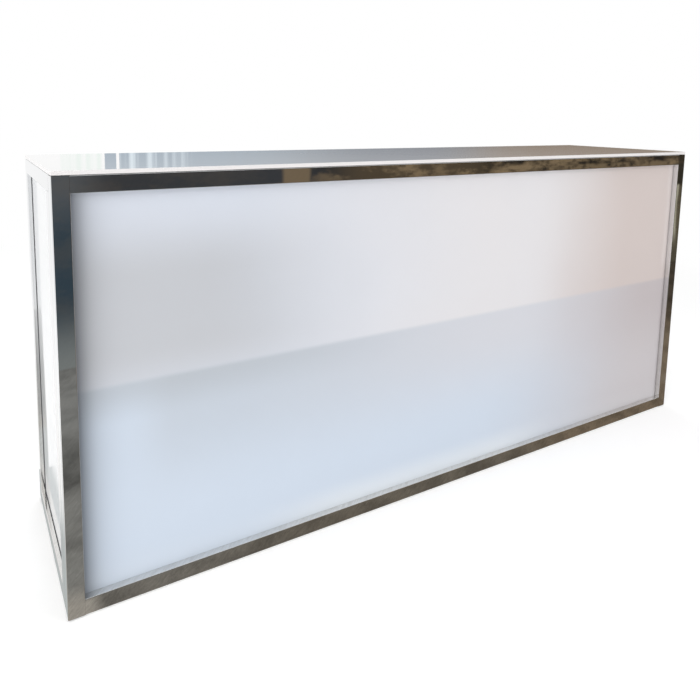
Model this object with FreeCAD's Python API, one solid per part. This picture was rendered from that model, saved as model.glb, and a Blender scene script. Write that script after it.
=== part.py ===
# Free-standing bar counter: a welded frame of polished square tube, white acrylic panels
# set back in its front and ends, and a white acrylic top lying on the frame.
# Each end has an upright of its own behind the front post, so its sides look twice as
# wide there. The back is open and holds a base floor and one shelf.
# Lengths are in millimetres. +Z is up, -Y is the customers' front, +X is to the right seen
# from the front, and the origin is on the floor under the middle of the counter.

import FreeCAD
import Part
import math
import os

# Overall size
counter_length = 2350.0
counter_depth = 560.0
counter_height = 1067.0

# Frame tube
tube_side = 40.0
tube_wall = 1.5
tube_corner_radius = 2.0

# Post caps and floor glides
cap_thickness = 3.0
cap_fit = 0.1
glide_thickness = 3.0
glide_inset = 5.0
glide_corner_radius = 3.0
glide_edge_break = 0.8
glide_plug_height = 18.0
glide_plug_wall = 2.5
glide_plug_fit = 0.15

# Acrylic top and the tape under it
top_thickness = 10.0
top_corner_radius = 2.0
top_edge_break = 0.6
top_tape_thickness = 1.0
top_tape_width = 25.0
top_tape_inset = 4.0
top_tape_end_gap = 1.0

# Acrylic panels in the front and the two ends
panel_thickness = 5.0
panel_edge_gap = 0.8
end_panel_recess = 12.0
panel_tape_thickness = 1.0
panel_tape_width = 10.0
end_seal_width = 2.0
end_seal_depth = 1.5

# Angles that the panels are taped to
stop_standing_leg = 12.0
stop_thickness = 1.5
stop_end_gap = 0.5

# Flat bearers under the top, the shelf and the base floor
bearer_width = 40.0
bearer_height = 20.0
bearer_wall = 1.5
bearer_corner_radius = 1.8

# Shelf rails
shelf_height = 580.0
shelf_rail_width = 20.0
shelf_rail_height = 30.0
shelf_rail_wall = 1.5
shelf_rail_corner_radius = 1.8
shelf_rail_gap = 0.5

# Shelf and base boards
board_thickness = 18.0
board_edge_gap = 1.5
board_joint_gap = 1.0
board_edge_radius = 1.0

# Pan-head screws that hold the panel angles
stop_screw_radius = 1.75
stop_screw_length = 12.0
stop_screw_head_radius = 3.4
stop_screw_head_height = 2.2
stop_screw_head_round = 1.0
stop_screw_head_gap = 1.2
level_screw_margin = 60.0
front_upright_screw_margin = 60.0
end_upright_screw_margin = 90.0

# Countersunk screws that hold the boards
board_screw_radius = 2.0
board_screw_length = 28.0
board_screw_head_radius = 4.0
board_screw_sink = 0.2
board_screw_margin = 45.0

# Fits and cuts shared by both kinds of screw
screw_tip_length = 3.0
screw_hole_fit = 0.05
screw_passing_fit = 0.3
recess_width = 0.9
recess_depth = 1.2
cut_overrun = 1.0

# Counts and shares
long_stop_screws = 8
short_stop_screws = 3
screws_per_upright_run = 2
bearer_place_shares = (-0.5, 0.0, 0.5)
recess_length_share = 1.1

# Places that several pieces line up with
half_length = counter_length / 2
half_depth = counter_depth / 2
frame_bottom = glide_thickness
frame_top = counter_height - top_thickness - top_tape_thickness
post_face_x = half_length - tube_side
post_face_y = half_depth - tube_side
bottom_rail_top = frame_bottom + tube_side
top_rail_bottom = frame_top - tube_side
tube_bore = tube_side - 2 * tube_wall
tube_bore_radius = tube_corner_radius - tube_wall
end_upright_back_y = -post_face_y + tube_side
front_panel_recess = tube_side / 2
stop_offset = panel_thickness + panel_tape_thickness
front_stop_back = front_panel_recess + stop_offset + stop_thickness
end_stop_back = end_panel_recess + stop_offset + stop_thickness
stop_lying_back = tube_side - tube_corner_radius
shelf_rail_top = shelf_height - board_thickness
shelf_rail_bottom = shelf_rail_top - shelf_rail_height
side_rail_outer_x = half_length - end_stop_back - shelf_rail_gap
side_rail_inner_x = side_rail_outer_x - shelf_rail_width
front_rail_back_y = -post_face_y + shelf_rail_width
upright_screw_runs = ((bottom_rail_top, shelf_rail_bottom), (shelf_rail_top, top_rail_bottom))

X_AXIS = FreeCAD.Vector(1, 0, 0)
Y_AXIS = FreeCAD.Vector(0, 1, 0)
Z_AXIS = FreeCAD.Vector(0, 0, 1)
AXIS_TURNS = {
    "x": FreeCAD.Rotation(FreeCAD.Vector(1, 1, 1), 120),
    "y": FreeCAD.Rotation(FreeCAD.Vector(1, 1, 1), 240),
    "z": FreeCAD.Rotation(),
}


def box(low, high):
    """Return a plain block between two opposite corners."""
    low = FreeCAD.Vector(*low)
    size = FreeCAD.Vector(*high) - low
    return Part.makeBox(size.x, size.y, size.z, low)


def rounded_outline(width, height, radius, inset=0):
    """Return a closed outline with round corners, from (inset, inset) inwards."""
    low = inset + radius
    right = width - inset - radius
    top = height - inset - radius
    centres = [(right, top), (low, top), (low, low), (right, low)]
    edges = []
    for quarter, (centre_x, centre_y) in enumerate(centres):
        centre = FreeCAD.Vector(centre_x, centre_y, 0)
        start_angle = quarter * 90
        edges.append(Part.makeCircle(radius, centre, Z_AXIS, start_angle, start_angle + 90))
    arcs = list(edges)
    for arc, following in zip(arcs, arcs[1:] + arcs[:1]):
        edges.append(Part.makeLine(arc.Vertexes[-1].Point, following.Vertexes[0].Point))
    return Part.Wire(Part.__sortEdges__(edges))


def section_sizes(axis, size):
    """Return the section's two sides and the length of a bar that runs along an axis."""
    if axis == "x":
        return size.y, size.z, size.x
    if axis == "y":
        return size.z, size.x, size.y
    return size.x, size.y, size.z


def place_along(shape, axis, low):
    """Turn a shape that was drawn along Z to the axis and move it to its low corner."""
    placed = shape.copy()
    placed.Placement = FreeCAD.Placement(low, AXIS_TURNS[axis])
    return placed


def rounded_bar(axis, low, high, radius):
    """Return a solid bar along an axis with its four long edges rounded."""
    low = FreeCAD.Vector(*low)
    width, height, length = section_sizes(axis, FreeCAD.Vector(*high) - low)
    face = Part.Face(rounded_outline(width, height, radius))
    return place_along(face.extrude(Z_AXIS * length), axis, low)


def tube(axis, low, high, wall, radius):
    """Return a rectangular tube along an axis, open at both ends."""
    low = FreeCAD.Vector(*low)
    width, height, length = section_sizes(axis, FreeCAD.Vector(*high) - low)
    outer = Part.Face(rounded_outline(width, height, radius)).extrude(Z_AXIS * length)
    bore_outline = rounded_outline(width, height, radius - wall, wall)
    bore = Part.Face(bore_outline).extrude(Z_AXIS * length)
    return place_along(outer.cut(bore), axis, low)


def frame_tube(axis, low, high):
    """Return a length of the frame's square tube."""
    return tube(axis, low, high, tube_wall, tube_corner_radius)


def bearer(x_centre, y_low, y_high, top):
    """Return a flat bearer that runs from front to back with its top at a height."""
    low = (x_centre - bearer_width / 2, y_low, top - bearer_height)
    high = (x_centre + bearer_width / 2, y_high, top)
    return tube("y", low, high, bearer_wall, bearer_corner_radius)


def shelf_tube(axis, low_xy, high_xy):
    """Return a shelf rail between two plan corners, just under the shelf boards."""
    low = (*low_xy, shelf_rail_bottom)
    high = (*high_xy, shelf_rail_top)
    return tube(axis, low, high, shelf_rail_wall, shelf_rail_corner_radius)


def grouped(solids):
    """Return separate solids as one group."""
    return Part.makeCompound(list(solids))


def near(shape, other):
    """Tell whether the boxes of two shapes meet."""
    return shape.BoundBox.intersect(other.BoundBox)


def drilled(shape, drills):
    """Return a shape with every drill that meets its box cut away."""
    tools = [drill for drill in drills if near(shape, drill)]
    if not tools:
        return shape
    return shape.cut(tools)


def evenly(low, high, count, margin):
    """Return evenly spaced places between two ends, a margin in from each."""
    first = low + margin
    step = (high - margin - first) / (count - 1)
    return [first + step * index for index in range(count)]


def cross_recess(head_radius):
    """Return the driver's cross, cut down from the head's top at height zero."""
    reach = head_radius * recess_length_share / 2
    half_slot = recess_width / 2
    along_x = box((-reach, -half_slot, -recess_depth), (reach, half_slot, cut_overrun))
    along_y = box((-half_slot, -reach, -recess_depth), (half_slot, reach, cut_overrun))
    return along_x.fuse(along_y)


def screw_shank(radius, length):
    """Return a pointed shank that runs down from height zero."""
    straight_length = length - screw_tip_length
    straight = Part.makeCylinder(radius, straight_length, FreeCAD.Vector(0, 0, 0), -Z_AXIS)
    tip = Part.makeCone(radius, 0, screw_tip_length, Z_AXIS * -straight_length, -Z_AXIS)
    return straight.fuse(tip)


def pan_screw():
    """Return a pan-head screw with the underside of its head at height zero."""
    head = Part.makeCylinder(stop_screw_head_radius, stop_screw_head_height)
    rim = [edge for edge in head.Edges if edge.BoundBox.ZMin > stop_screw_head_height / 2]
    head = head.makeFillet(stop_screw_head_round, rim)
    recess = cross_recess(stop_screw_head_radius)
    recess.translate(Z_AXIS * stop_screw_head_height)
    shank = screw_shank(stop_screw_radius, stop_screw_length)
    return head.fuse(shank).cut(recess).removeSplitter()


def countersunk_screw():
    """Return a countersunk screw with the flat of its head at height zero."""
    head_depth = board_screw_head_radius - board_screw_radius
    head = Part.makeCone(
        board_screw_head_radius, board_screw_radius, head_depth, FreeCAD.Vector(0, 0, 0), -Z_AXIS
    )
    shank = screw_shank(board_screw_radius, board_screw_length)
    recess = cross_recess(board_screw_head_radius)
    return head.fuse(shank).cut(recess).removeSplitter()


def countersink():
    """Return the cut that a countersunk screw needs in a board whose top is at height zero."""
    hole_radius = board_screw_radius + screw_passing_fit
    mouth_radius = board_screw_head_radius + screw_passing_fit
    cone_depth = mouth_radius - hole_radius
    through = board_thickness + 2 * cut_overrun
    mouth_depth = cut_overrun + board_screw_sink
    above_board = Z_AXIS * cut_overrun
    hole = Part.makeCylinder(hole_radius, through, above_board, -Z_AXIS)
    mouth = Part.makeCylinder(mouth_radius, mouth_depth, above_board, -Z_AXIS)
    cone = Part.makeCone(mouth_radius, hole_radius, cone_depth, Z_AXIS * -board_screw_sink, -Z_AXIS)
    return hole.fuse([mouth, cone])


def placed_screws(screw, places):
    """Return a copy of a screw at each (point, direction of its head)."""
    copies = []
    for point, head_direction in places:
        copy = screw.copy()
        copy.Placement = FreeCAD.Placement(point, FreeCAD.Rotation(Z_AXIS, head_direction))
        copies.append(copy)
    return copies


def placed_drills(radius, depth, places):
    """Return a drilled cylinder through the metal at each screw's place."""
    drills = []
    for point, head_direction in places:
        start = point + head_direction * cut_overrun
        drills.append(Part.makeCylinder(radius, depth + cut_overrun, start, -head_direction))
    return drills


def frame_posts():
    """Return the four full-height corner posts by name."""
    posts = {}
    for depth_name, depth_side in (("front", -1), ("back", 1)):
        for side_name, side in (("left", -1), ("right", 1)):
            inner_x = side * post_face_x
            outer_x = side * half_length
            inner_y = depth_side * post_face_y
            outer_y = depth_side * half_depth
            low = (min(inner_x, outer_x), min(inner_y, outer_y), frame_bottom)
            high = (max(inner_x, outer_x), max(inner_y, outer_y), frame_top)
            posts[f"post_{depth_name}_{side_name}"] = frame_tube("z", low, high)
    return posts


def frame_rails():
    """Return the top and bottom rails that butt between the posts, by name."""
    rails = {}
    for level, bottom in (("bottom", frame_bottom), ("top", top_rail_bottom)):
        top = bottom + tube_side
        for name, side in (("front", -1), ("back", 1)):
            y_low = min(side * half_depth, side * post_face_y)
            low = (-post_face_x, y_low, bottom)
            high = (post_face_x, y_low + tube_side, top)
            rails[f"{level}_rail_{name}"] = frame_tube("x", low, high)
        for name, side in (("left", -1), ("right", 1)):
            x_low = min(side * half_length, side * post_face_x)
            low = (x_low, -post_face_y, bottom)
            high = (x_low + tube_side, post_face_y, top)
            rails[f"{level}_rail_{name}"] = frame_tube("y", low, high)
    return rails


def end_uprights():
    """Return each end frame's own upright, close behind the front post, by name."""
    uprights = {}
    for name, side in (("left", -1), ("right", 1)):
        x_low = min(side * half_length, side * post_face_x)
        low = (x_low, -post_face_y, bottom_rail_top)
        high = (x_low + tube_side, end_upright_back_y, top_rail_bottom)
        uprights[f"end_upright_{name}"] = frame_tube("z", low, high)
    return uprights


def weld_seam(corner, toward_round, inwards, run_axis):
    """Return a ground seam: it fills the groove beside a tube's round edge.

    Its section is a triangle with its right angle at the corner and its long side
    touching the round. It runs along the flat of the other tube.
    """
    leg = tube_corner_radius * (2 - math.sqrt(2))
    outline = [corner, corner + toward_round * leg, corner + inwards * leg, corner]
    face = Part.Face(Part.makePolygon(outline))
    return face.extrude(run_axis * (tube_side - 2 * tube_corner_radius))


def frame_welds():
    """Return the seams on the frame's outer faces.

    They lie where the rails meet the posts and where the end uprights meet their rails.
    """
    seams = []
    for rail_bottom in (frame_bottom, top_rail_bottom):
        bottom = rail_bottom + tube_corner_radius
        for side in (-1, 1):
            for depth_side in (-1, 1):
                outwards_x = X_AXIS * side
                outwards_y = Y_AXIS * depth_side
                long_corner = FreeCAD.Vector(side * post_face_x, depth_side * half_depth, bottom)
                short_corner = FreeCAD.Vector(side * half_length, depth_side * post_face_y, bottom)
                seams.append(weld_seam(long_corner, outwards_x, -outwards_y, Z_AXIS))
                seams.append(weld_seam(short_corner, outwards_y, -outwards_x, Z_AXIS))
    flat_start_y = -post_face_y + tube_corner_radius
    for side in (-1, 1):
        for joint_z, toward_rail in ((bottom_rail_top, -Z_AXIS), (top_rail_bottom, Z_AXIS)):
            corner = FreeCAD.Vector(side * half_length, flat_start_y, joint_z)
            seams.append(weld_seam(corner, toward_rail, X_AXIS * -side, Y_AXIS))
    return grouped(seams)


def post_middles():
    """Return the plan centre of each post, from front left to back right."""
    x_middle = half_length - tube_side / 2
    y_middle = half_depth - tube_side / 2
    return {
        "front_left": (-x_middle, -y_middle),
        "front_right": (x_middle, -y_middle),
        "back_left": (-x_middle, y_middle),
        "back_right": (x_middle, y_middle),
    }


def square_block(middle, side, radius, bottom, top):
    """Return an upright block of square section with round corners about a plan centre."""
    x_middle, y_middle = middle
    low = (x_middle - side / 2, y_middle - side / 2, bottom)
    high = (x_middle + side / 2, y_middle + side / 2, top)
    return rounded_bar("z", low, high, radius)


def post_caps():
    """Return the four plates that close the posts' top ends, flush with the rails."""
    side = tube_bore - 2 * cap_fit
    bottom = frame_top - cap_thickness
    caps = []
    for middle in post_middles().values():
        caps.append(square_block(middle, side, tube_bore_radius, bottom, frame_top))
    return grouped(caps)


def floor_glide(middle):
    """Return a plastic glide: a hollow plug in the post's bore and a foot pad under it.

    The plug's closed bottom is level with the post's end, and the pad is narrower than
    the post, so it is out of sight from above.
    """
    foot_side = tube_side - 2 * glide_inset
    foot = square_block(middle, foot_side, glide_corner_radius, 0, glide_thickness)
    sole_edges = [edge for edge in foot.Edges if edge.BoundBox.ZMax < glide_thickness / 2]
    foot = foot.makeChamfer(glide_edge_break, sole_edges)
    plug_side = tube_bore - 2 * glide_plug_fit
    plug_top = glide_thickness + glide_plug_height
    hollow_side = plug_side - 2 * glide_plug_wall
    plug = square_block(middle, plug_side, tube_bore_radius, glide_thickness, plug_top)
    hollow_top = plug_top + cut_overrun
    hollow_bottom = glide_thickness + glide_plug_wall
    hollow = square_block(middle, hollow_side, tube_bore_radius, hollow_bottom, hollow_top)
    return foot.fuse(plug.cut(hollow)).removeSplitter()


def bearer_places():
    """Return the X places of the three bearers between the ends."""
    return [share * half_length for share in bearer_place_shares]


def top_bearers():
    """Return the three bearers under the acrylic top, flush with the top rails."""
    names = ("left", "middle", "right")
    bearers = {}
    for name, x_centre in zip(names, bearer_places()):
        bearers[f"top_bearer_{name}"] = bearer(x_centre, -post_face_y, post_face_y, frame_top)
    return bearers


def base_bearer_places():
    """Return the X places of the five bearers under the base boards, by name."""
    end_place = post_face_x - bearer_width / 2
    left, middle, right = bearer_places()
    return {
        "left_end": -end_place,
        "left": left,
        "middle": middle,
        "right": right,
        "right_end": end_place,
    }


def base_bearers():
    """Return the bearers that carry the base boards level with the bottom rails."""
    top = bottom_rail_top - board_thickness
    bearers = {}
    for name, x_centre in base_bearer_places().items():
        bearers[f"base_bearer_{name}"] = bearer(x_centre, -post_face_y, post_face_y, top)
    return bearers


def shelf_rails():
    """Return the four shelf rails: one along each end, one front and one back.

    Those in front meet the end uprights, and those behind meet the back posts.
    """
    rails = {}
    for name, side in (("left", -1), ("right", 1)):
        x_low = min(side * side_rail_outer_x, side * side_rail_inner_x)
        low = (x_low, end_upright_back_y)
        high = (x_low + shelf_rail_width, post_face_y)
        rails[f"shelf_rail_{name}"] = shelf_tube("y", low, high)
    front_low = (-post_face_x, -post_face_y)
    front_high = (post_face_x, front_rail_back_y)
    rails["shelf_rail_front"] = shelf_tube("x", front_low, front_high)
    back_low = (-post_face_x, post_face_y)
    back_high = (post_face_x, post_face_y + shelf_rail_width)
    rails["shelf_rail_back"] = shelf_tube("x", back_low, back_high)
    return rails


def shelf_bearers():
    """Return the three bearers between the front and back shelf rails."""
    names = ("left", "middle", "right")
    bearers = {}
    for name, x_centre in zip(names, bearer_places()):
        rail = bearer(x_centre, front_rail_back_y, post_face_y, shelf_rail_top)
        bearers[f"shelf_bearer_{name}"] = rail
    return bearers


def board_screw_points(end_x, y_low, y_high, top):
    """Return the screw points of both boards, over their end, quarter and middle supports."""
    quarter = bearer_places()[-1]
    beside_joint = bearer_width / 4
    points = []
    for side in (-1, 1):
        for x_place in (beside_joint, quarter, end_x):
            for y_place in (y_low + board_screw_margin, y_high - board_screw_margin):
                points.append(FreeCAD.Vector(side * x_place, y_place, top))
    return points


def board_screw_places(points):
    """Return each board screw's head point, just under the board's face, and direction."""
    sink = Z_AXIS * -board_screw_sink
    return [(point + sink, Z_AXIS) for point in points]


def bored_board(board, points):
    """Return a board with a countersunk hole at each of its screw points."""
    cutters = []
    for point in points:
        cutter = countersink()
        cutter.translate(point)
        cutters.append(cutter)
    return drilled(board, cutters)


def eased_board(low, high):
    """Return a board with its top long edges slightly rounded."""
    board = box(low, high)
    top_edges = []
    for edge in board.Edges:
        if edge.BoundBox.ZMin > (low[2] + high[2]) / 2:
            top_edges.append(edge)
    return board.makeFillet(board_edge_radius, top_edges)


def board_pair(name, plan_low, plan_high, bottom, corner_cut, points):
    """Return a left and a right board that meet over the middle bearer."""
    top = bottom + board_thickness
    boards = {}
    for side_name, side in (("left", -1), ("right", 1)):
        joint_x = side * board_joint_gap / 2
        end_x = plan_high[0] if side > 0 else plan_low[0]
        low = (min(joint_x, end_x), plan_low[1], bottom)
        high = (max(joint_x, end_x), plan_high[1], top)
        board = eased_board(low, high)
        if corner_cut:
            board = board.cut(corner_clearances(side, bottom, top))
        boards[f"{name}_board_{side_name}"] = bored_board(board, points)
    return boards


def corner_clearances(side, bottom, top):
    """Return the blocks that clear a shelf board of the uprights and posts at one end."""
    board_gap = stop_thickness + board_edge_gap
    clear_x = post_face_x - board_gap
    y_ranges = (
        (-half_depth, end_upright_back_y + board_gap),
        (post_face_y - board_gap, half_depth),
    )
    clearances = []
    for y_ends in y_ranges:
        x_ends = sorted((side * clear_x, side * half_length))
        low = (x_ends[0], y_ends[0], bottom - cut_overrun)
        high = (x_ends[1], y_ends[1], top + cut_overrun)
        clearances.append(box(low, high))
    return clearances


def edge_box(level, along, depth, out):
    """Return a block beside one edge of an opening, from low and high pairs.

    A level edge runs along X and stands out along Z; an upright one runs along Z and
    stands out along X. Depth is along Y.
    """
    out = sorted(out)
    if level:
        return box((along[0], depth[0], out[0]), (along[1], depth[1], out[1]))
    return box((out[0], depth[0], along[0]), (out[1], depth[1], along[1]))


def edge_angle(level, along, wall, inward, recess):
    """Return the angle on one edge: a leg on the tube and a leg behind the panel."""
    stop_front = recess + stop_offset
    lying_out = (wall, wall + inward * stop_thickness)
    standing_out = (wall, wall + inward * stop_standing_leg)
    lying = edge_box(level, along, (stop_front, stop_lying_back), lying_out)
    standing = edge_box(level, along, (stop_front, stop_front + stop_thickness), standing_out)
    return lying.fuse(standing).removeSplitter()


def edge_tape(level, along, wall, inward, recess):
    """Return the tape strip on the front of one edge's standing leg."""
    tip = wall + inward * stop_standing_leg
    root = tip - inward * panel_tape_width
    return edge_box(level, along, (recess + panel_thickness, recess + stop_offset), (root, tip))


def edge_seal(level, opening_width, wall, inward):
    """Return the foam strip that covers the joint in front of one edge of an end panel."""
    half = opening_width / 2 - end_seal_width
    along = (-half, half) if level else (bottom_rail_top, top_rail_bottom)
    depth = (end_panel_recess - end_seal_depth, end_panel_recess)
    return edge_box(level, along, depth, (wall, wall + inward * end_seal_width))


def edge_screw_places(level, places, wall, inward, recess):
    """Return the point and head direction of each screw along one edge."""
    stop_back = recess + stop_offset + stop_thickness
    depth = stop_back + stop_screw_head_gap + stop_screw_head_radius
    out = wall + inward * stop_thickness
    if level:
        return [(FreeCAD.Vector(place, depth, out), Z_AXIS * inward) for place in places]
    return [(FreeCAD.Vector(out, depth, place), X_AXIS * inward) for place in places]


def opening_edges(opening_width, level_screws, upright_margin):
    """Return one opening's four edges: name, level or not, run, wall, inward, screws.

    The upright edges have a run of screws below the shelf rail and one above it, with
    the opening's own margin at both ends of each run.
    """
    half = opening_width / 2
    level_half = half - stop_standing_leg - stop_end_gap
    level_run = (-level_half, level_half)
    level_places = evenly(*level_run, level_screws, level_screw_margin)
    upright_run = (bottom_rail_top, top_rail_bottom)
    upright_places = []
    for run_low, run_high in upright_screw_runs:
        upright_places += evenly(run_low, run_high, screws_per_upright_run, upright_margin)
    return [
        ("bottom", True, level_run, bottom_rail_top, 1, level_places),
        ("top", True, level_run, top_rail_bottom, -1, level_places),
        ("left", False, upright_run, -half, 1, upright_places),
        ("right", False, upright_run, half, -1, upright_places),
    ]


def opening_panel(opening_width, recess):
    """Return one opening's acrylic panel, standing on the bottom rail."""
    half = opening_width / 2 - panel_edge_gap
    low = (-half, recess, bottom_rail_top)
    high = (half, recess + panel_thickness, top_rail_bottom - panel_edge_gap)
    return box(low, high)


def moved(shape, placement):
    """Return a copy of a shape in its opening's place."""
    copy = shape.copy()
    copy.Placement = placement.multiply(copy.Placement)
    return copy


def shelf_rail_notch(side):
    """Return the block that clears the end's upright angles of the shelf rail."""
    outer_x = half_length - end_stop_back
    x_ends = sorted((side * outer_x, side * (side_rail_inner_x - shelf_rail_gap)))
    low = (x_ends[0], -half_depth, shelf_rail_bottom - shelf_rail_gap)
    high = (x_ends[1], half_depth, shelf_rail_top + shelf_rail_gap)
    return box(low, high)


def opening_table():
    """Return each opening's width, recess, level screws, upright margin, placement and edges.

    An opening is drawn with the frame's outer face at Y zero, +Y inwards and its middle
    at X zero, then turned to its side of the counter. An end's opening lies between its
    own upright and the back post, so its middle is half a tube behind the counter's.
    """
    front_turn = FreeCAD.Rotation()
    left_turn = FreeCAD.Rotation(Z_AXIS, -90)
    right_turn = FreeCAD.Rotation(Z_AXIS, 90)
    end_width = post_face_y - end_upright_back_y
    end_middle = Y_AXIS * ((post_face_y + end_upright_back_y) / 2)
    return {
        "front": (
            2 * post_face_x,
            front_panel_recess,
            long_stop_screws,
            front_upright_screw_margin,
            FreeCAD.Placement(Y_AXIS * -half_depth, front_turn),
            {"left": "left", "right": "right"},
        ),
        "left": (
            end_width,
            end_panel_recess,
            short_stop_screws,
            end_upright_screw_margin,
            FreeCAD.Placement(X_AXIS * -half_length + end_middle, left_turn),
            {"left": "back", "right": "front"},
        ),
        "right": (
            end_width,
            end_panel_recess,
            short_stop_screws,
            end_upright_screw_margin,
            FreeCAD.Placement(X_AXIS * half_length + end_middle, right_turn),
            {"left": "front", "right": "back"},
        ),
    }


def fitted_openings():
    """Return the panels, angles, tapes and seals of all openings, and all angle screws."""
    notches = {"left": shelf_rail_notch(-1), "right": shelf_rail_notch(1)}
    nodes = {}
    tape_strips = []
    screw_places = []
    for name, opening in opening_table().items():
        width, recess, level_screws, margin, placement, edge_names = opening
        for edge, level, run, wall, inward, places in opening_edges(width, level_screws, margin):
            angle = moved(edge_angle(level, run, wall, inward, recess), placement)
            if name in notches:
                angle = angle.cut(notches[name])
                tape_strips.append(moved(edge_seal(level, width, wall, inward), placement))
            nodes[f"{name}_stop_{edge_names.get(edge, edge)}"] = angle
            tape_strips.append(moved(edge_tape(level, run, wall, inward, recess), placement))
            for point, head_direction in edge_screw_places(level, places, wall, inward, recess):
                turned = placement.Rotation.multVec(head_direction)
                screw_places.append((placement.multVec(point), turned))
        nodes[f"{name}_panel"] = moved(opening_panel(width, recess), placement)
    nodes["panel_tapes"] = grouped(tape_strips)
    return nodes, screw_places


def top_sheet():
    """Return the acrylic top with its corners rounded and its edges broken."""
    low = (-half_length, -half_depth, counter_height - top_thickness)
    high = (half_length, half_depth, counter_height)
    sheet = rounded_bar("z", low, high, top_corner_radius)
    middle_z = counter_height - top_thickness / 2
    rims = []
    for edge in sheet.Edges:
        bounds = edge.BoundBox
        if bounds.ZMin > middle_z or bounds.ZMax < middle_z:
            rims.append(edge)
    return sheet.makeChamfer(top_edge_break, rims)


def top_tape():
    """Return the tape strips along the top rails and the bearers."""
    bottom = frame_top
    top = frame_top + top_tape_thickness
    outer_x = half_length - top_tape_inset
    outer_y = half_depth - top_tape_inset
    inner_x = outer_x - top_tape_width
    inner_y = outer_y - top_tape_width
    strips = []
    for side in (-1, 1):
        y_ends = sorted((side * inner_y, side * outer_y))
        strips.append(box((-outer_x, y_ends[0], bottom), (outer_x, y_ends[1], top)))
        x_ends = sorted((side * inner_x, side * outer_x))
        end_y = inner_y - top_tape_end_gap
        strips.append(box((x_ends[0], -end_y, bottom), (x_ends[1], end_y, top)))
    for x_centre in bearer_places():
        low = (x_centre - top_tape_width / 2, -post_face_y, bottom)
        high = (x_centre + top_tape_width / 2, post_face_y, top)
        strips.append(box(low, high))
    return grouped(strips)


def write_node(name, shape):
    """Write one node's solids to its own file."""
    shape.exportStep(os.path.join("parts", f"{name}.step"))
    print(name, len(shape.Solids), "solids", round(shape.Volume), "mm3", shape.isValid())


def base_boards_and_screws():
    """Return the base boards and the places of their screws."""
    plan_high = (post_face_x - board_edge_gap, post_face_y - board_edge_gap)
    plan_low = (-plan_high[0], -plan_high[1])
    end_x = base_bearer_places()["right_end"]
    points = board_screw_points(end_x, -post_face_y, post_face_y, bottom_rail_top)
    bottom = bottom_rail_top - board_thickness
    return board_pair("base", plan_low, plan_high, bottom, False, points), points


def shelf_boards_and_screws():
    """Return the shelf boards, cut round the posts, and the places of their screws."""
    end_inset = end_stop_back + board_edge_gap
    front_inset = front_stop_back + board_edge_gap
    plan_low = (-half_length + end_inset, -half_depth + front_inset)
    plan_high = (half_length - end_inset, post_face_y + shelf_rail_width)
    end_x = (side_rail_outer_x + side_rail_inner_x) / 2
    points = board_screw_points(end_x, front_rail_back_y, post_face_y, shelf_height)
    return board_pair("shelf", plan_low, plan_high, shelf_rail_top, True, points), points


def main():
    """Build every node and write it."""
    os.makedirs("parts", exist_ok=True)
    metal = {}
    metal.update(frame_posts())
    metal.update(frame_rails())
    metal.update(end_uprights())
    metal.update(top_bearers())
    metal.update(base_bearers())
    metal.update(shelf_rails())
    metal.update(shelf_bearers())
    fitted, stop_screw_places = fitted_openings()
    base_boards, base_points = base_boards_and_screws()
    shelf_boards, shelf_points = shelf_boards_and_screws()

    base_places = board_screw_places(base_points)
    shelf_places = board_screw_places(shelf_points)
    stop_hole = stop_screw_radius + screw_hole_fit
    stop_hole_depth = stop_thickness + tube_wall + cut_overrun
    stop_drills = placed_drills(stop_hole, stop_hole_depth, stop_screw_places)
    board_hole = board_screw_radius + screw_hole_fit
    support_wall = max(bearer_wall, shelf_rail_wall)
    board_hole_depth = board_thickness + support_wall + cut_overrun
    board_drills = placed_drills(board_hole, board_hole_depth, base_places + shelf_places)

    for name, shape in metal.items():
        write_node(name, drilled(shape, stop_drills + board_drills))
    for name, shape in fitted.items():
        is_stop = "_stop_" in name
        write_node(name, drilled(shape, stop_drills) if is_stop else shape)
    for name, shape in (*base_boards.items(), *shelf_boards.items()):
        write_node(name, shape)
    for name, middle in post_middles().items():
        write_node(f"floor_glide_{name}", floor_glide(middle))
    write_node("post_caps", post_caps())
    write_node("frame_welds", frame_welds())
    write_node("top_sheet", top_sheet())
    write_node("top_tape", top_tape())
    write_node("panel_angle_screws", grouped(placed_screws(pan_screw(), stop_screw_places)))
    write_node("base_board_screws", grouped(placed_screws(countersunk_screw(), base_places)))
    write_node("shelf_board_screws", grouped(placed_screws(countersunk_screw(), shelf_places)))


main()
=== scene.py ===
"""The looks of the acrylic bar counter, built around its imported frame.

The tubes, boards, angles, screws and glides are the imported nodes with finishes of
their own. The acrylic sheets are modelled here again, with rounded edges and corners.
"""

import logging
import math
from dataclasses import dataclass
from enum import Enum
from fnmatch import fnmatch
from typing import Union

import bmesh
import bpy
from mathutils import Matrix, Vector

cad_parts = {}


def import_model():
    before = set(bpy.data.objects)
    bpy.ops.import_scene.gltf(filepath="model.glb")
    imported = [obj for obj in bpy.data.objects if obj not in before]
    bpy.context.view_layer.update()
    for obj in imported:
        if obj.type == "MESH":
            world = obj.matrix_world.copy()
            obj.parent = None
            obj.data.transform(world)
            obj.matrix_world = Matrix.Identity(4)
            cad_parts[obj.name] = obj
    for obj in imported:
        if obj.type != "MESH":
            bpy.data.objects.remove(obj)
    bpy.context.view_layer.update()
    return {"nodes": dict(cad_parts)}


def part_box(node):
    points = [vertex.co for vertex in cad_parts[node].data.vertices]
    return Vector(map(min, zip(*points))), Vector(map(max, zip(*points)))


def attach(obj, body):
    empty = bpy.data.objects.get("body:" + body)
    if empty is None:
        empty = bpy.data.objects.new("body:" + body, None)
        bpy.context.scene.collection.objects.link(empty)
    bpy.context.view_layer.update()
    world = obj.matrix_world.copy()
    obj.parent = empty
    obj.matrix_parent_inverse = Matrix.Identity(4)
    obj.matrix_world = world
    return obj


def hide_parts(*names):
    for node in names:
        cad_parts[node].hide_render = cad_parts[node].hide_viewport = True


BODY = "root"
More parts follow.
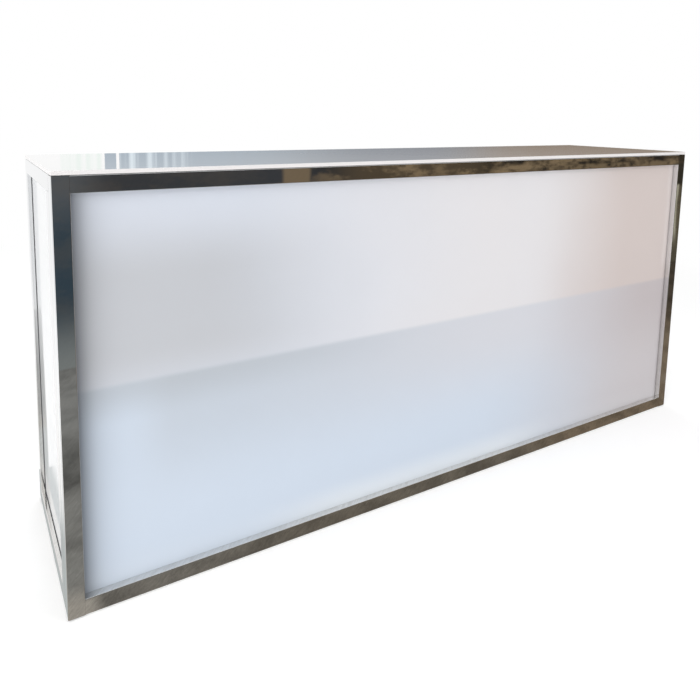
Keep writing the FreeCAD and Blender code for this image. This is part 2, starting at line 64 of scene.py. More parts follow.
MM = 0.001
PICTURE_SIDE = 700
SENSOR_MM = 36.0

# What is the same all over a surface, by the shader's own sockets.
METAL = {"Metallic": 1.0}
ACRYLIC = {"IOR": 1.49}

# Square metres: a larger face shades flat, so that it mirrors as flat sheet does.
FLAT_AREA = 0.001

# The least cosine between an edge and the axis that it runs along.
ALIGNED = 0.999

# Metres: places closer than this are the same.
SAME_PLACE = 1e-6

# The share of their seen strength with which the white surroundings light the object.
LIGHT_SHARE = 0.62

# The Mix node's sockets for colours, which share their names with its other kinds.
MIX_SHARE, MIX_FIRST, MIX_SECOND, MIX_RESULT = 0, 6, 7, 2

Node = bpy.types.Node
Socket = bpy.types.NodeSocket
Piece = bpy.types.Object
Colour = tuple[float, float, float]
Place = tuple[float, float, float]
Tint = Colour | Socket
Number = Union["Shade", float]

# Where a step starts and where it ends, which may be below the start.
Span = tuple[float, float]

WHITE: Colour = (1.0, 1.0, 1.0)
OUTER_GREY: Colour = (0.27, 0.265, 0.25)

log = logging.getLogger("bar_counter")


class Axis(Enum):
    """A direction of the row frame, by its place in a point."""

    X = 0
    Y = 1
    Z = 2


class Slot(Enum):
    """The record's material slots of the acrylic sheets, by their names there."""

    PANELS = "opal_acrylic_panels"
    TOP = "white_acrylic_top"


class Shade:
    """A number that varies over a surface, for maths written as Python expressions."""

    def __init__(self, graph: "Graph", socket: Socket) -> None:
        """Keeps the graph to add nodes to and the socket that holds the number."""
        self.graph = graph
        self.socket = socket

    def __add__(self, other: Number) -> "Shade":
        """Returns this number plus the other."""
        return self.graph.maths("ADD", self, other)

    def __radd__(self, other: float) -> "Shade":
        """Returns the other number plus this one."""
        return self.graph.maths("ADD", other, self)

    def __sub__(self, other: Number) -> "Shade":
        """Returns this number less the other."""
        return self.graph.maths("SUBTRACT", self, other)

    def __rsub__(self, other: float) -> "Shade":
        """Returns the other number less this one."""
        return self.graph.maths("SUBTRACT", other, self)

    def __mul__(self, other: Number) -> "Shade":
        """Returns this number times the other."""
        return self.graph.maths("MULTIPLY", self, other)

    def __rmul__(self, other: float) -> "Shade":
        """Returns the other number times this one."""
        return self.graph.maths("MULTIPLY", other, self)

    def __pow__(self, other: Number) -> "Shade":
        """Returns this number to the power of the other."""
        return self.graph.maths("POWER", self, other)

    def __abs__(self) -> "Shade":
        """Returns this number without its sign."""
        return self.graph.maths("ABSOLUTE", self)

    def larger(self, other: Number) -> "Shade":
        """Returns the larger of this number and the other."""
        return self.graph.maths("MAXIMUM", self, other)

    def step(self, start: float, end: float) -> "Shade":
        """Eases this number from 0 at the start to 1 at the end.

        Args:
            start: the value that becomes 0.
            end: the value that becomes 1, which may be below the start.

        Returns:
            The eased number.
        """
        made = self.graph.node(
            "ShaderNodeMapRange",
            {"interpolation_type": "SMOOTHSTEP"},
            {"Value": self, "From Min": start, "From Max": end},
        )
        return Shade(self.graph, made.outputs["Result"])


class Graph:
    """One node tree, grown by expressions and ended by a surface or a background."""

    def __init__(self, tree: bpy.types.NodeTree) -> None:
        """Empties the tree and keeps it."""
        self.tree = tree
        self.tree.nodes.clear()

    def node(
        self,
        kind: str,
        settings: dict[str, object] | None = None,
        inputs: dict[str | int, object] | None = None,
    ) -> Node:
        """Adds one node.

        Args:
            kind: the node's type.
            settings: its settings, which are set first.
            inputs: values, Shades or sockets for its inputs, by name or number.

        Returns:
            The node.
        """
        made = self.tree.nodes.new(kind)
        for name, value in (settings or {}).items():
            setattr(made, name, value)
        for name, value in (inputs or {}).items():
            self._feed(made.inputs[name], value)
        return made

    def _feed(self, socket: Socket, value: object) -> None:
        """Links or sets one input.

        Args:
            socket: the input.
            value: a Shade or a socket to link to it, or a plain value to set there.
        """
        if isinstance(value, Shade):
            self.tree.links.new(value.socket, socket)
        elif isinstance(value, Socket):
            self.tree.links.new(value, socket)
        elif isinstance(value, tuple) and socket.type == "RGBA":
            socket.default_value = (*value, 1.0)
        else:
            socket.default_value = value

    def maths(self, operation: str, *terms: Number) -> Shade:
        """Adds a Math node on the terms and returns what it gives."""
        made = self.node("ShaderNodeMath", {"operation": operation}, dict(enumerate(terms)))
        return Shade(self, made.outputs[0])

    def place(self) -> tuple[Shade, Shade, Shade]:
        """Returns the surface's own x, y and z in metres, in the row frame."""
        where = self.node("ShaderNodeTexCoord").outputs["Object"]
        return self._parts(where)

    def facing(self) -> tuple[Shade, Shade, Shade]:
        """Finds which way the surface faces.

        Returns:
            How squarely it faces along x, y and z, from 0 to 1.
        """
        normal = self.node("ShaderNodeTexCoord").outputs["Normal"]
        x, y, z = self._parts(normal)
        return abs(x), abs(y), abs(z)

    def _parts(self, vector: Socket) -> tuple[Shade, Shade, Shade]:
        """Splits a vector socket into three Shades."""
        made = self.node("ShaderNodeSeparateXYZ", None, {"Vector": vector})
        return tuple(Shade(self, made.outputs[i]) for i in range(3))

    def point(self, x: Number, y: Number, z: Number) -> Socket:
        """Joins three numbers into a vector socket."""
        made = self.node("ShaderNodeCombineXYZ", None, {"X": x, "Y": y, "Z": z})
        return made.outputs["Vector"]

    def noise(self, where: Socket, scale: float, detail: float = 3.0, roughness: float = 0.5) -> Shade:
        """Adds a cloud-like noise.

        Args:
            where: the vector that it is read at.
            scale: waves to a metre of that vector.
            detail: how many finer octaves it holds.
            roughness: how strong the finer octaves are.

        Returns:
            The noise, about 0.5 on average.
        """
        made = self.node(
            "ShaderNodeTexNoise",
            None,
            {"Vector": where, "Scale": scale, "Detail": detail, "Roughness": roughness},
        )
        return Shade(self, made.outputs["Fac"])

    def cells(self, where: Socket, scale: float) -> Shade:
        """Adds scattered cells.

        Args:
            where: the vector that they are read at.
            scale: cells to a metre of that vector.

        Returns:
            The distance to the nearest cell's middle, in cells.
        """
        inputs = {"Vector": where, "Scale": scale}
        made = self.node("ShaderNodeTexVoronoi", {"feature": "F1"}, inputs)
        return Shade(self, made.outputs["Distance"])

    def mix(self, share: Number, first: Tint, second: Tint, blend: str = "MIX") -> Socket:
        """Mixes two colours.

        Args:
            share: how much of the second, from 0 to 1.
            first: a colour or a colour socket.
            second: the colour that it goes towards.
            blend: the Mix node's way of mixing.

        Returns:
            The mixed colour's socket.
        """
        made = self.node(
            "ShaderNodeMix",
            {"data_type": "RGBA", "blend_type": blend, "clamp_factor": True},
            {MIX_SHARE: share, MIX_FIRST: first, MIX_SECOND: second},
        )
        return made.outputs[MIX_RESULT]

    def shaded(self, colour: Tint, shade: Shade) -> Socket:
        """Returns a colour's socket, made lighter or darker by a number about 1."""
        grey = self.node("ShaderNodeCombineColor", None, {0: shade, 1: shade, 2: shade})
        return self.mix(1.0, colour, grey.outputs[0], "MULTIPLY")

    def surface(
        self,
        colour: Tint,
        roughness: Shade,
        height: Shade,
        depth: float,
        fixed: dict[str, float] | None = None,
    ) -> None:
        """Ends the tree with a Principled surface.

        Args:
            colour: its base colour.
            roughness: its roughness.
            height: its relief, from 0 to 1.
            depth: how deep the relief is, in metres.
            fixed: plain values for its other sockets.
        """
        relief = {"Strength": 1.0, "Distance": depth, "Height": height}
        normal = self.node("ShaderNodeBump", None, relief).outputs["Normal"]
        inputs = {"Base Color": colour, "Roughness": roughness, "Normal": normal}
        self.close(self.node("ShaderNodeBsdfPrincipled", None, inputs | (fixed or {})))

    def seen(self) -> Shade:
        """Tells rays that show a surface from those that only light a matt one.

        Returns:
            1 for camera, mirror and glass rays, and 0 for the others.
        """
        path = self.node("ShaderNodeLightPath")
        made = Shade(self, path.outputs["Is Camera Ray"])
        made = made.larger(Shade(self, path.outputs["Is Glossy Ray"]))
        return made.larger(Shade(self, path.outputs["Is Transmission Ray"]))

    def emission(self, colour: Tint, strength: Number) -> Node:
        """Returns a node that glows in that colour."""
        return self.node("ShaderNodeEmission", None, {"Color": colour, "Strength": strength})

    def mix_shaders(self, share: Shade | Socket, first: Node, second: Node) -> Node:
        """Returns a node that goes from the first shader to the second."""
        shaders = {0: share, 1: first.outputs[0], 2: second.outputs[0]}
        return self.node("ShaderNodeMixShader", None, shaders)

    def close(self, shader: Node, end: str = "ShaderNodeOutputMaterial") -> None:
        """Ends the tree with a shader, in an output node of that type."""
        self.node(end, None, {"Surface": shader.outputs[0]})


@dataclass(frozen=True)
class Finish:
    """A surface finish, made once as a material and shared by what wears it."""

    name: str

    def material(self) -> bpy.types.Material:
        """Makes this finish's material on the first call, and finds it on later ones.

        Returns:
            The material.
        """
        found = bpy.data.materials.get(self.name)
        if found is not None:
            return found
        made = bpy.data.materials.new(self.name)
        made.use_nodes = True
        self.build(Graph(made.node_tree))
        return made

    def build(self, graph: Graph) -> None:
        """Grows the material's nodes; each finish has its own."""
        raise NotImplementedError

    def dress(self, *pieces: Piece) -> None:
        """Gives every material slot of the pieces this finish.

        Args:
            pieces: the objects that wear it.
        """
        for piece in pieces:
            if not piece.material_slots:
                piece.data.materials.append(None)
            for slot in piece.material_slots:
                slot.material = self.material()


@dataclass(frozen=True)
class PolishedSteel(Finish):
    """Mirror-polished stainless steel: hair-fine slanted polishing lines and a wavy skin.

    It is cooler and clearer high up, and warmer and a little duller towards the floor.
    Low down, its warmer tone, brown patches and darker mottling are a painted reflection of the floor.
    """

    name: str = "polished_steel"
    high_tone: Colour = (0.78, 0.79, 0.80)
    low_tone: Colour = (0.79, 0.78, 0.76)
    tint: Colour = (0.68, 0.65, 0.61)
    dull_height: float = 0.1
    clear_height: float = 0.8
    clear_roughness: float = 0.02
    dull_roughness: float = 0.055
    wiped_roughness: float = 0.12
    line_roughness: float = 0.03
    line_scale: float = 420.0
    line_stretch: float = 0.045
    line_lean: float = 0.2
    broad_scale: float = 110.0
    broad_stretch: float = 0.2
    broad_lean: float = 0.5
    cloud_scale: float = 5.5
    cloud_reach: float = 0.5
    skin_scale: float = 7.0
    skin_depth: float = 0.35 * MM

    def build(self, graph: Graph) -> None:
        """Grows the steel's nodes.

        Args:
            graph: the tree to grow.
        """
        x, y, z = graph.place()
        side, front, flat = graph.facing()
        along = front * (x + z) + side * (y + z) + flat * (x + y)
        across = front * (x - z) + side * (y - z) + flat * (x - y)
        hair = graph.point(across, along * self.line_stretch, z * self.line_lean)
        lines = graph.noise(hair, self.line_scale, 4.0)
        swathe = graph.point(across, along * self.broad_stretch, z * self.broad_lean)
        broad = graph.noise(swathe, self.broad_scale, 4.0, 0.6)
        cloud = graph.noise(graph.point(x, y, z), self.cloud_scale, 4.0, 0.6)
        height = z + (cloud - 0.5) * self.cloud_reach
        low = 1.0 - height.step(self.dull_height, self.clear_height)
        # Painted reflection of the floor: a warmer tone and brown patches low down.
        tone = graph.mix(low, self.high_tone, self.low_tone)
        worn = graph.mix((broad - 0.45).larger(0.0) * low, tone, self.tint)
        # Polishing lines, stronger low down, and a painted reflection's darker mottling there.
        shade = (lines - 0.5) * (0.1 + low * 0.36) + (broad - 0.5) * low * -0.2 + 1.0
        wiped = (cloud - 0.5).larger(0.0) * self.wiped_roughness
        roughness = (
            self.clear_roughness
            + low * (self.dull_roughness - self.clear_roughness)
            + wiped
            + (lines - 0.5) * self.line_roughness
        )
        skin = graph.noise(graph.point(x, y, z), self.skin_scale, 1.0) * 0.9
        skin = skin + lines * low * 0.02
        colour = graph.shaded(worn, shade)
        graph.surface(colour, roughness, skin, self.skin_depth, METAL)


@dataclass(frozen=True)
class GroundWeld(PolishedSteel):
    """A butt weld dressed flush and polished over with the tubes, a little duller than they are."""

    name: str = "ground_weld"
    high_tone: Colour = (0.73, 0.735, 0.74)
    low_tone: Colour = (0.74, 0.725, 0.70)
    clear_roughness: float = 0.07
    dull_roughness: float = 0.14


@dataclass(frozen=True)
class SatinSteel(Finish):
    """Brushed stainless tube whose grain runs along its length."""

    name: str = "satin_steel"
    grain: Axis = Axis.X
    tone: Colour = (0.40, 0.39, 0.375)
    dark: Colour = (0.25, 0.245, 0.24)
    grain_stretch: float = 0.02
    fine_scale: float = 1500.0
    coarse_scale: float = 260.0
    patch_scale: float = 4.0
    streaked: Span = (0.3, 0.75)
    roughness: float = 0.27
    relief: float = 0.012 * MM

    def build(self, graph: Graph) -> None:
        """Grows the brushed steel's nodes.

        Args:
            graph: the tree to grow.
        """
        stretched = list(graph.place())
        stretched[self.grain.value] = stretched[self.grain.value] * self.grain_stretch
        fine = graph.noise(graph.point(*stretched), self.fine_scale, 3.0)
        coarse = graph.noise(graph.point(*stretched), self.coarse_scale, 3.0)
        patches = graph.noise(graph.point(*graph.place()), self.patch_scale, 3.0)
        streaks = (fine * 0.6 + coarse * 0.4).step(*self.streaked)
        colour = graph.mix(streaks, self.dark, self.tone)
        roughness = self.roughness + coarse * 0.1 + patches * 0.08
        graph.surface(colour, roughness, fine, self.relief, METAL)


@dataclass(frozen=True)
class GalvanisedAngle(Finish):
    """Zinc-plated rolled angle, with soft spangle and rolling marks."""

    name: str = "zinc_plated_angle"
    pale: Colour = (0.56, 0.57, 0.58)
    deep: Colour = (0.38, 0.39, 0.41)
    spangle_scale: float = 70.0
    speckle_scale: float = 420.0
    spangled: Span = (0.3, 0.8)
    roughness: float = 0.34
    relief: float = 0.02 * MM

    def build(self, graph: Graph) -> None:
        """Grows the plated angle's nodes.

        Args:
            graph: the tree to grow.
        """
        where = graph.point(*graph.place())
        spangle = graph.cells(where, self.spangle_scale)
        speckle = graph.noise(where, self.speckle_scale, 3.0)
        marks = (spangle * 0.6 + speckle * 0.5).step(*self.spangled)
        colour = graph.mix(marks, self.deep, self.pale)
        roughness = self.roughness + speckle * 0.16
        graph.surface(colour, roughness, speckle, self.relief, METAL)


@dataclass(frozen=True)
class OpalAcrylic(Finish):
    """Glossy opal acrylic sheet, lightly wiped and not quite flat."""

    clear_roughness: float = 0.055
    wiped: float = 0.07
    dusted: float = 0.01
    wipe_scale: float = 9.0
    dust_scale: float = 700.0
    ripple_scale: float = 2.2
    ripple_depth: float = 0.5 * MM

    def gloss(self, graph: Graph, colour: Tint) -> None:
        """Ends the tree with that colour under the sheet's gloss.

        Args:
            graph: the sheet's tree.
            colour: the sheet's colour, or the socket that gives it.
        """
        x, y, z = graph.place()
        wipes = graph.noise(graph.point(x * 0.6, y, z + x * 0.2), self.wipe_scale, 4.0, 0.6)
        dust = graph.noise(graph.point(x, y, z), self.dust_scale, 2.0)
        ripple = graph.noise(graph.point(x, y, z), self.ripple_scale, 1.0)
        dull = wipes.step(0.5, 0.8) * self.wiped + dust * self.dusted
        roughness = dull + self.clear_roughness
        graph.surface(colour, roughness, ripple, self.ripple_depth, ACRYLIC)


@dataclass(frozen=True)
class FrontAcrylic(OpalAcrylic):
    """The front sheet, with painted light and reflections: milky in the middle, greyer on the left,
    warmer on the right.

    A painted shadow of the shelf behind it shows as a level soft line, with painted shade greying
    the sheet below it. Painted shadow darkens its left edge beside the post, and painted light
    brightens its foot.
    """

    name: str = "opal_acrylic_front"
    # Painted light and reflections, above the shelf.
    haze: Colour = (0.735, 0.775, 0.855)
    milk: Colour = (0.835, 0.82, 0.84)
    warm: Colour = (0.70, 0.62, 0.597)
    cloud: Colour = (0.60, 0.615, 0.65)
    # Painted shade, below the shelf.
    shade_left: Colour = (0.61, 0.665, 0.74)
    shade_middle: Colour = (0.725, 0.735, 0.785)
    shade_right: Colour = (0.60, 0.55, 0.56)
    cool: Colour = (0.685, 0.765, 0.875)
    dusk: Colour = (0.65, 0.62, 0.64)
    # The shelf's painted shadow, just below it.
    line: Colour = (0.50, 0.53, 0.565)
    # Painted light at the foot.
    sill: Colour = (0.92, 0.95, 0.97)
    # Painted shadow beside the left post.
    corner: Colour = (0.07, 0.075, 0.085)
    drift_scale: float = 1.6
    drift_reach: float = 0.3
    milk_x: Span = (-0.85, 0.15)
    warm_x: Span = (0.3, 0.85)
    grey_reflection_x: Span = (-0.25, -0.85)
    grey_reflection_rise: float = 0.17
    cloud_reach: Span = (0.28, 0.08)
    shelf_height: float = 0.55
    shelf_blur: float = 0.008
    shade_middle_x: Span = (-0.9, 0.3)
    shade_right_x: Span = (0.3, 1.05)
    cool_x: Span = (-0.9, -1.03)
    dusk_x: Span = (0.1, 1.1)
    deep_rise: Span = (-0.05, -0.38)
    shelf_shadow_rise: Span = (-0.11, 0.0)
    shelf_shadow_x: Span = (0.0, -0.9)
    sill_height: Span = (0.13, 0.05)
    sill_light_left: float = 0.1
    sill_light_reach: Span = (0.65, 0.3)
    # Where the painted shadow beside the left post starts, how fast it fades and how dark it is.
    corner_x: float = -1.135
    post_shadow_fade: float = 33.0
    post_shadow_depth: float = 0.85

    def build(self, graph: Graph) -> None:
        """Grows the sheet's nodes.

        Args:
            graph: the tree to grow.
        """
        x, y, z = graph.place()
        drift = graph.noise(graph.point(x, y, z), self.drift_scale, 2.0) - 0.5
        above = z - self.shelf_height
        across = x + drift * self.drift_reach
        # Painted light and reflections above the shelf: bluish grey on the left, milky in the middle, warm
        # on the right.
        upper = graph.mix(across.step(*self.milk_x), self.haze, self.milk)
        upper = graph.mix(across.step(*self.warm_x), upper, self.warm)
        # Painted reflection: a grey patch on the upper left.
        grey_reflection_mask = abs(above - self.grey_reflection_rise).step(*self.cloud_reach)
        upper = graph.mix(across.step(*self.grey_reflection_x) * grey_reflection_mask, upper, self.cloud)
        # Painted shade below the shelf: greyer, cool low on the left and dusky on the right.
        under = graph.mix(across.step(*self.shade_middle_x), self.shade_left, self.shade_middle)
        under = graph.mix(across.step(*self.shade_right_x), under, self.shade_right)
        under = graph.mix(x.step(*self.cool_x) * 0.8, under, self.cool)
        deep = graph.mix(across.step(*self.dusk_x), self.cool, self.dusk)
        lower = graph.mix(above.step(*self.deep_rise), under, deep)
        # Painted shadow of the shelf: a soft dark band just below it, strongest on the left.
        band = above.step(*self.shelf_shadow_rise) * x.step(*self.shelf_shadow_x) * 0.62
        lower = graph.mix(band, lower, self.line)
        blurred = above.step(-self.shelf_blur, self.shelf_blur)
        colour = graph.mix(blurred, lower, upper)
        # Painted light: the foot of the sheet lighter, above the ledge.
        sill_light_span = abs(x + self.sill_light_left).step(*self.sill_light_reach)
        foot = z.step(*self.sill_height) * (0.1 + sill_light_span * 0.45)
        colour = graph.mix(foot, colour, self.sill)
        # Painted shadow: the sheet darkens towards its left edge, beside the post.
        edge = graph.maths("EXPONENT", (x - self.corner_x) * -self.post_shadow_fade)
        self.gloss(graph, graph.mix(edge * self.post_shadow_depth, colour, self.corner))


@dataclass(frozen=True)
class EndAcrylic(OpalAcrylic):
    """The end sheets, evenly white and painted lighter than the front sheet, for the light falling on the
    ends.
    """

    name: str = "opal_acrylic_end"
    clear_roughness: float = 0.01
    wiped: float = 0.01
    # Painted light: whiter than the front sheet's tones.
    white: Colour = (0.86, 0.875, 0.89)

    def build(self, graph: Graph) -> None:
        """Grows the sheet's nodes."""
        self.gloss(graph, self.white)


@dataclass(frozen=True)
class CastTop(Finish):
    """The white cast acrylic top: high gloss, fine wiping scratches, faintly pink in its edges."""

    name: str = "white_cast_acrylic"
    white: Colour = (0.79, 0.785, 0.78)
    edge: Colour = (0.90, 0.87, 0.865)
    clear_roughness: float = 0.02
    worn_roughness: float = 0.02
    scratch_scale: float = 130.0
    ring_scale: float = 6.0
    ripple_scale: float = 3.0
    ripple_depth: float = 0.2 * MM

    def build(self, graph: Graph) -> None:
        """Grows the top's nodes.

        Args:
            graph: the tree to grow.
        """
        x, y, z = graph.place()
        upright = 1.0 - graph.facing()[2]
        slanted = graph.point(x * 0.15 + y, y * 0.4 - x, z)
        scratches = graph.noise(slanted, self.scratch_scale, 4.0)
        rings = graph.noise(graph.point(x, y, z), self.ring_scale, 4.0, 0.6)
        ripple = graph.noise(graph.point(x, y, z), self.ripple_scale, 1.0)
        scratched = scratches.step(0.55, 0.8) * self.worn_roughness
        worn = rings.step(0.5, 0.8) * self.worn_roughness
        colour = graph.mix(upright, self.white, self.edge)
        roughness = self.clear_roughness + scratched + worn
        graph.surface(colour, roughness, ripple, self.ripple_depth, ACRYLIC)


@dataclass(frozen=True)
class Melamine(Finish):
    """White melamine-faced chipboard with a light pearl texture and ironed-on edge bands."""

    name: str = "white_melamine"
    face: Colour = (0.80, 0.80, 0.79)
    band: Colour = (0.74, 0.74, 0.725)
    scuff: Colour = (0.60, 0.59, 0.57)
    pearl_scale: float = 950.0
    scuff_scale: float = 14.0
    roughness: float = 0.36
    relief: float = 0.05 * MM

    def build(self, graph: Graph) -> None:
        """Grows the board's nodes.

        Args:
            graph: the tree to grow.
        """
        x, y, z = graph.place()
        upright = (1.0 - graph.facing()[2]).step(0.3, 0.7)
        pearl = graph.noise(graph.point(x, y, z), self.pearl_scale, 2.0)
        scuffs = graph.noise(graph.point(x * 0.35, y, z), self.scuff_scale, 5.0, 0.65)
        faced = graph.mix(upright, self.face, self.band)
        colour = graph.mix(scuffs.step(0.6, 0.85) * 0.5, faced, self.scuff)
        roughness = self.roughness + pearl * 0.12 + scuffs.step(0.55, 0.8) * 0.1
        graph.surface(colour, roughness, pearl, self.relief)


@dataclass(frozen=True)
class FoamTape(Finish):
    """Black closed-cell foam tape, full of fine open pores at its cut edges."""

    name: str = "black_foam_tape"
    solid: Colour = (0.022, 0.022, 0.024)
    pore: Colour = (0.006, 0.006, 0.007)
    pore_scale: float = 1400.0
    roughness: float = 0.75
    relief: float = 0.12 * MM

    def build(self, graph: Graph) -> None:
        """Grows the foam's nodes.

        Args:
            graph: the tree to grow.
        """
        pores = graph.cells(graph.point(*graph.place()), self.pore_scale)
        colour = graph.mix(pores.step(0.2, 0.6), self.pore, self.solid)
        roughness = self.roughness + pores * 0.2
        graph.surface(colour, roughness, pores, self.relief)


@dataclass(frozen=True)
class MouldedNylon(Finish):
    """Black moulded nylon with a fine spark-eroded texture and a scuffed sole."""

    name: str = "black_moulded_nylon"
    black: Colour = (0.020, 0.020, 0.022)
    scuffed: Colour = (0.09, 0.088, 0.085)
    grain_scale: float = 1800.0
    scuff_scale: float = 130.0
    sole_height: Span = (3.5 * MM, 0.5 * MM)
    roughness: float = 0.42
    relief: float = 0.05 * MM

    def build(self, graph: Graph) -> None:
        """Grows the nylon's nodes.

        Args:
            graph: the tree to grow.
        """
        x, y, z = graph.place()
        where = graph.point(x, y, z)
        grain = graph.noise(where, self.grain_scale, 2.0)
        scuffs = graph.noise(where, self.scuff_scale, 4.0).step(0.5, 0.75)
        rubbed = scuffs * z.step(*self.sole_height)
        colour = graph.mix(rubbed, self.black, self.scuffed)
        roughness = self.roughness + grain * 0.2
        graph.surface(colour, roughness, grain, self.relief)


@dataclass(frozen=True)
class ZincPlate(Finish):
    """Bright zinc-plated screw steel, with blue and straw patches from its passivation."""

    name: str = "bright_zinc"
    bright: Colour = (0.60, 0.61, 0.63)
    blue: Colour = (0.46, 0.50, 0.57)
    straw: Colour = (0.56, 0.52, 0.42)
    patch_scale: float = 240.0
    roughness: float = 0.24
    relief: float = 0.02 * MM

    def build(self, graph: Graph) -> None:
        """Grows the plated screw's nodes.

        Args:
            graph: the tree to grow.
        """
        patches = graph.noise(graph.point(*graph.place()), self.patch_scale, 3.0)
        tint = graph.mix(patches.step(0.35, 0.6), self.blue, self.bright)
        colour = graph.mix(patches.step(0.6, 0.8), tint, self.straw)
        roughness = self.roughness + patches * 0.16
        graph.surface(colour, roughness, patches, self.relief, METAL)


class Shape:
    """A bmesh being worked into one piece, with the operations this counter's pieces need."""

    def __init__(self) -> None:
        """Starts an empty mesh."""
        self.mesh = bmesh.new()

    def block(self, low: Vector, high: Vector) -> list[bmesh.types.BMVert]:
        """Adds a block.

        Args:
            low: its lowest corner.
            high: its highest corner.

        Returns:
            Its points.
        """
        made = bmesh.ops.create_cube(self.mesh, size=1.0)["verts"]
        bmesh.ops.scale(self.mesh, vec=high - low, verts=made)
        bmesh.ops.translate(self.mesh, vec=(low + high) / 2, verts=made)
        return made

    def edges_along(self, axis: Axis) -> list[bmesh.types.BMEdge]:
        """Returns the mesh's straight edges that run along an axis."""
        return [
            e
            for e in self.mesh.edges
            if abs((e.verts[0].co - e.verts[1].co).normalized()[axis.value]) > ALIGNED
        ]

    def sharp_edges(self, least_turn: float) -> list[bmesh.types.BMEdge]:
        """Returns the edges whose faces turn by at least so many radians."""
        return [
            e
            for e in self.mesh.edges
            if len(e.link_faces) == 2 and e.calc_face_angle() > least_turn
        ]

    def round_edges(self, edges: list[bmesh.types.BMEdge], radius: float, segments: int) -> None:
        """Rounds edges.

        Args:
            edges: the edges to round.
            radius: how far the round reaches from each edge, in metres.
            segments: faces across the round.
        """
        bmesh.ops.bevel(
            self.mesh,
            geom=edges,
            offset=radius,
            offset_type="OFFSET",
            affect="EDGES",
            segments=segments,
            profile=0.5,
            material=-1,
            clamp_overlap=True,
        )

    def piece(self, name: str, slot: Slot, smooth_angle: float) -> Piece:
        """Ends the mesh as a piece that rides on the counter.

        Args:
            name: the piece's name.
            slot: the record's material slot; not used.
            smooth_angle: edges that turn by less than this, in radians, shade smooth.

        Returns:
            The piece, at the origin, with its place in its mesh.
        """
        bmesh.ops.recalc_face_normals(self.mesh, faces=self.mesh.faces)
        for face in self.mesh.faces:
            face.smooth = face.calc_area() < FLAT_AREA
        for edge in self.sharp_edges(smooth_angle):
            edge.smooth = False
        self._fix_order()
        data = bpy.data.meshes.new(name)
        self.mesh.to_mesh(data)
        self.mesh.free()
        made = bpy.data.objects.new(name, data)
        bpy.context.scene.collection.objects.link(made)
        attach(made, BODY)
        return made

    def _fix_order(self) -> None:
        """Orders edges and faces by their points, because a bevel's own order varies by run."""
        self.mesh.verts.index_update()
        for parts in (self.mesh.edges, self.mesh.faces):
            parts.sort(key=self._rank)

    def _rank(self, part: bmesh.types.BMEdge | bmesh.types.BMFace) -> int:
        """Returns a number of an edge's or a face's own, made from its first points."""
        number = 0
        for index in sorted(v.index for v in part.verts)[:3]:
            number = number * len(self.mesh.verts) + index
        return number


@dataclass
class PackedGroup:
    """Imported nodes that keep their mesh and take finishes, chosen by their names."""

    def wear(self) -> dict[str, Finish]:
        """Returns the finish for each name pattern; each group has its own."""
        raise NotImplementedError

    def dress(self, nodes: dict[str, Piece]) -> int:
        """Finishes the group's nodes.

        Args:
            nodes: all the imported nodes, by name.

        Returns:
            How many it finished.
        """
        finished = 0
        for pattern, finish in self.wear().items():
            found = [o for n, o in nodes.items() if fnmatch(n, pattern)]
            finish.dress(*found)
            finished += len(found)
        return finished


@dataclass
class SteelFrame(PackedGroup):
    """The mirror frame: posts, end uprights, rails, their ground welds and the post caps."""

    tube: PolishedSteel = PolishedSteel()
    weld: GroundWeld = GroundWeld()
    tubes: tuple[str, ...] = ("post_*", "bottom_rail_*", "top_rail_*", "end_upright_*")

    def wear(self) -> dict[str, Finish]:
        """Returns the polished tubes' finish and the ground welds'."""
        return dict.fromkeys(self.tubes, self.tube) | {"frame_welds": self.weld}


@dataclass
class Bearers(PackedGroup):
    """The brushed tubes that carry the top, the shelf and the floor."""

    across: SatinSteel = SatinSteel("satin_steel_across", Axis.Y)
    lengthwise: SatinSteel = SatinSteel("satin_steel_lengthwise", Axis.X)
    parts: tuple[str, ...] = ("top_bearer_", "base_bearer_", "shelf_bearer_", "shelf_rail_")

    def dress(self, nodes: dict[str, Piece]) -> int:
        """Finishes each bearer with its grain along its length.

        Args:
            nodes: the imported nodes, by name.

        Returns:
            How many nodes it finished.
        """
        dressed = [o for n, o in nodes.items() if n.startswith(self.parts)]
        for piece in dressed:
            low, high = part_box(piece.name)
            size = high - low
            long_way = self.lengthwise if size.x > size.y else self.across
            long_way.dress(piece)
        return len(dressed)


@dataclass
class AcrylicSheet:
    """A flat sheet cut to a node's size, with flame-polished edges."""

    node: str
    finish: Finish
    slot: Slot
    corner_radius: float
    edge_radius: float
    edge_segments: int = 3
    corner_segments: int = 5
    rim_turn: float = math.radians(60)
    smooth_turn: float = math.radians(50)

    def build(self) -> Piece:
        """Cuts the sheet and rounds its corners and its rim.

        Returns:
            The sheet, in its node's place.
        """
        low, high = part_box(self.node)
        size = high - low
        thin = min(Axis, key=lambda axis: size[axis.value])
        shape = Shape()
        shape.block(low, high)
        shape.round_edges(shape.edges_along(thin), self.corner_radius, self.corner_segments)
        rim = [e for e in shape.sharp_edges(self.rim_turn) if self._on_rim(e, thin)]
        shape.round_edges(rim, self.edge_radius, self.edge_segments)
        sheet = shape.piece(f"{self.node}_sheet", self.slot, self.smooth_turn)
        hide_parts(self.node)
        self.finish.dress(sheet)
        return sheet

    def _on_rim(self, edge: bmesh.types.BMEdge, thin: Axis) -> bool:
        """Says whether an edge lies in one of the sheet's two faces."""
        first, second = (v.co[thin.value] for v in edge.verts)
        return abs(first - second) < SAME_PLACE


@dataclass
class PanelFittings(PackedGroup):
    """The angles that hold the acrylic panels, and the foam tape that beds them."""

    angle: GalvanisedAngle = GalvanisedAngle()
    tape: FoamTape = FoamTape()

    def wear(self) -> dict[str, Finish]:
        """Returns the angles' finish and the tapes'."""
        return {"*_stop_*": self.angle, "*_tape*": self.tape}


